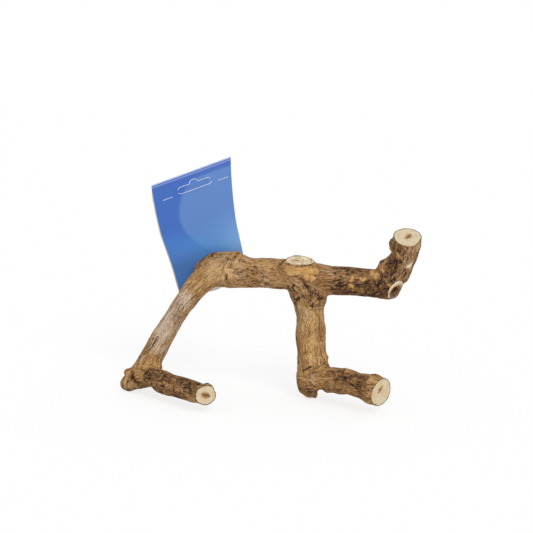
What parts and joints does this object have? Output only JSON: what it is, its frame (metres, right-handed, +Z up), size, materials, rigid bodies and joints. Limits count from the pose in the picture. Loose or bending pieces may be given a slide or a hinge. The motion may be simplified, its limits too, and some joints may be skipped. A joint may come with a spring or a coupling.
{
  "type": "bird perch",
  "caption": "Natural branching hardwood cage perch with sawn ends, a threaded bolt, washers, a wing nut and a folded hang card.",
  "frame": {"origin": "centre of the sawn mounting face of the rear stub, on the axis of the bolt", "axes": "+Y out of the wood along the bolt, towards the cage wall; +Z up; +X along the beam, to the right as seen from the front"},
  "size_m": [0.2069, 0.1278, 0.1656],
  "materials": {
    "bark_wood": "rough dry wood with patches of dark bark and pale sawn ends",
    "zinc_steel": "dull zinc plate",
    "printed_card": "coated paper board, blue print"
  },
  "bodies": {
    "perch": {"branch": "bark_wood", "hanger_bolt": "zinc_steel", "inner_washer": "zinc_steel"},
    "clamp_washer": {"outer_washer": "zinc_steel"},
    "clamp_nut": {"wing_nut": "zinc_steel"},
    "card": {"hang_card": "printed_card"}
  },
  "joints": [
    {"name": "nut_travel", "type": "slide", "parent": "perch", "child": "clamp_washer", "axis": [0, 1, 0], "range_m": [0, 0.02]},
    {"name": "nut_spin", "type": "hinge", "parent": "clamp_washer", "child": "clamp_nut", "pos_m": [0, 0, 0], "axis": [0, 1, 0], "range_deg": [0, 5760]},
    {"name": "card_swing", "type": "hinge", "parent": "perch", "child": "card", "pos_m": [0, 0, 0], "axis": [0, 1, 0], "range_deg": [-180, 180]}
  ],
  "couplings": [
    {"joint": "nut_spin", "follows": "nut_travel", "rad_per_m": 5026.5}
  ]
}
